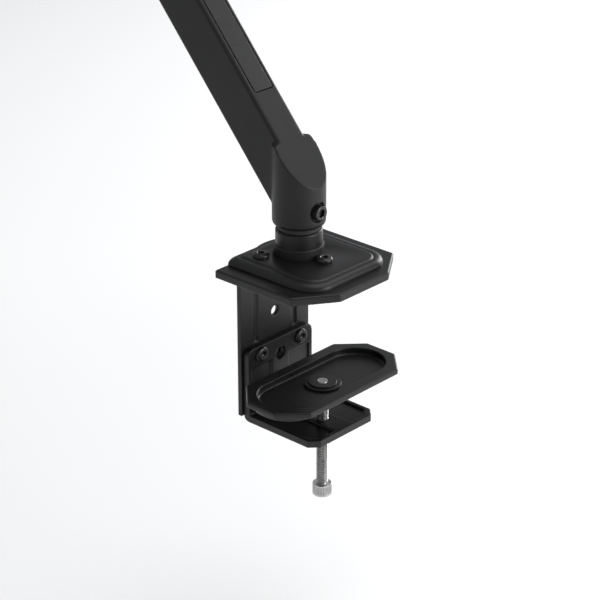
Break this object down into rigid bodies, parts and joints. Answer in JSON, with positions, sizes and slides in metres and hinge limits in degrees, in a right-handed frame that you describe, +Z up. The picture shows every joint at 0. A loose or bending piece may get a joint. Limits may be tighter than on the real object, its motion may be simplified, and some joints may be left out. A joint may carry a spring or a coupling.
{
  "type": "monitor arm",
  "caption": "Desk-clamp monitor arm: screw clamp with octagonal pad, swivel pole, sloping lower arm, gas-spring upper arm and a tilting, turning screen plate.",
  "frame": {"origin": "on the pole's swivel axis, at the upper jaw's face that rests on the desk's top", "axes": "+X in over the desk, +Y along the desk's edge, +Z up along the swivel axis"},
  "size_m": [0.2097, 0.3863, 0.4652],
  "materials": {
    "black_powder_coat": "fine-textured satin black powder coat",
    "black_cast_arm": "satin black paint on cast aluminium",
    "black_screw": "black oxide, semi-gloss",
    "zinc_steel": "bright zinc plate",
    "black_plastic": "moulded, fine grain",
    "bearing_plastic": "plain, self-lubricating",
    "ground_steel": "ground and plated rod"
  },
  "bodies": {
    "clamp": {"base_plate": "black_powder_coat", "post_base": "black_powder_coat", "pole": "black_powder_coat", "pole_collar": "black_plastic", "thrust_washer": "bearing_plastic", "base_screws": "black_screw", "upper_bracket": "black_powder_coat", "lower_bracket": "black_powder_coat", "bracket_bolts": "black_screw", "bracket_nuts": "black_screw"},
    "jaw_pad": {"clamp_pad": "black_powder_coat", "pad_disc": "black_powder_coat", "pad_clip": "black_screw"},
    "screw": {"clamp_screw": "zinc_steel"},
    "low_arm": {"lower_arm": "black_cast_arm", "lower_arm_cover": "black_plastic", "swivel_bush": "bearing_plastic", "friction_plug": "bearing_plastic", "hub_screw": "black_screw", "elbow_bush": "bearing_plastic", "elbow_cap": "black_plastic", "elbow_thrust_washer": "bearing_plastic"},
    "elbow": {"elbow_knuckle": "black_cast_arm", "elbow_pin": "ground_steel", "elbow_washer": "zinc_steel", "elbow_screw": "black_screw", "tension_screw": "black_screw", "tension_block": "zinc_steel"},
    "high_arm": {"arm_top_shell": "black_cast_arm", "lift_pins": "ground_steel", "pivot_spacers": "bearing_plastic", "gas_cylinder": "black_powder_coat", "gas_pin": "ground_steel"},
    "spring_rod": {"gas_rod": "ground_steel"},
    "link": {"parallel_link": "black_powder_coat", "link_pins": "ground_steel", "arm_bottom_cover": "black_plastic", "cable_clips": "black_plastic"},
    "level_head": {"head_knuckle": "black_cast_arm", "head_bush": "bearing_plastic"},
    "swivel_head": {"swivel_bracket": "black_powder_coat", "head_washer": "bearing_plastic", "head_pin": "ground_steel", "tilt_bolt": "black_screw", "tilt_nut": "black_screw"},
    "tilt_head": {"tilt_block": "black_cast_arm", "friction_washer": "bearing_plastic", "plate_nut": "black_screw"},
    "screen_plate": {"vesa_plate": "black_powder_coat"}
  },
  "joints": [
    {"name": "pad_travel", "type": "slide", "parent": "clamp", "child": "jaw_pad", "axis": [0, 0, 1], "range_m": [-0.018, 0.03]},
    {"name": "screw_turn", "type": "hinge", "parent": "jaw_pad", "child": "screw", "pos_m": [0.021, 0, -0.073], "axis": [0, 0, 1], "range_deg": [-5185, 8641]},
    {"name": "base_swivel", "type": "hinge", "parent": "clamp", "child": "low_arm", "pos_m": [0, 0, 0.031], "axis": [0, 0, 1], "range_deg": [-180, 180]},
    {"name": "elbow_swivel", "type": "hinge", "parent": "low_arm", "child": "elbow", "pos_m": [-0.13121, 0, 0.22474], "axis": [0, 0, 1], "range_deg": [-180, 180]},
    {"name": "lift", "type": "hinge", "parent": "elbow", "child": "high_arm", "pos_m": [-0.13121, 0.024, 0.26274], "axis": [1, 0, 0], "range_deg": [-25, 45]},
    {"name": "link_swing", "type": "hinge", "parent": "elbow", "child": "link", "pos_m": [-0.13121, 0.024, 0.24074], "axis": [1, 0, 0], "range_deg": [-25, 45]},
    {"name": "spring_stroke", "type": "slide", "parent": "high_arm", "child": "spring_rod", "axis": [0, 1, 0], "range_m": [-0.01, 0.006]},
    {"name": "head_level", "type": "hinge", "parent": "high_arm", "child": "level_head", "pos_m": [-0.13121, 0.239, 0.26274], "axis": [1, 0, 0], "range_deg": [-45, 25]},
    {"name": "head_swivel", "type": "hinge", "parent": "level_head", "child": "swivel_head", "pos_m": [-0.13121, 0.269, 0.23474], "axis": [0, 0, 1], "range_deg": [0, 180]},
    {"name": "tilt", "type": "hinge", "parent": "swivel_head", "child": "tilt_head", "pos_m": [-0.08921, 0.269, 0.24674], "axis": [0, 1, 0], "range_deg": [-40, 35]},
    {"name": "plate_turn", "type": "hinge", "parent": "tilt_head", "child": "screen_plate", "pos_m": [-0.06441, 0.269, 0.24674], "axis": [1, 0, 0], "range_deg": [-90, 90]}
  ],
  "couplings": [
    {"joint": "screw_turn", "follows": "pad_travel", "rad_per_m": 5026.5},
    {"joint": "link_swing", "follows": "lift", "ratio": 1},
    {"joint": "head_level", "follows": "lift", "ratio": -1},
    {"joint": "spring_stroke", "follows": "lift", "m_per_rad": -0.012}
  ]
}
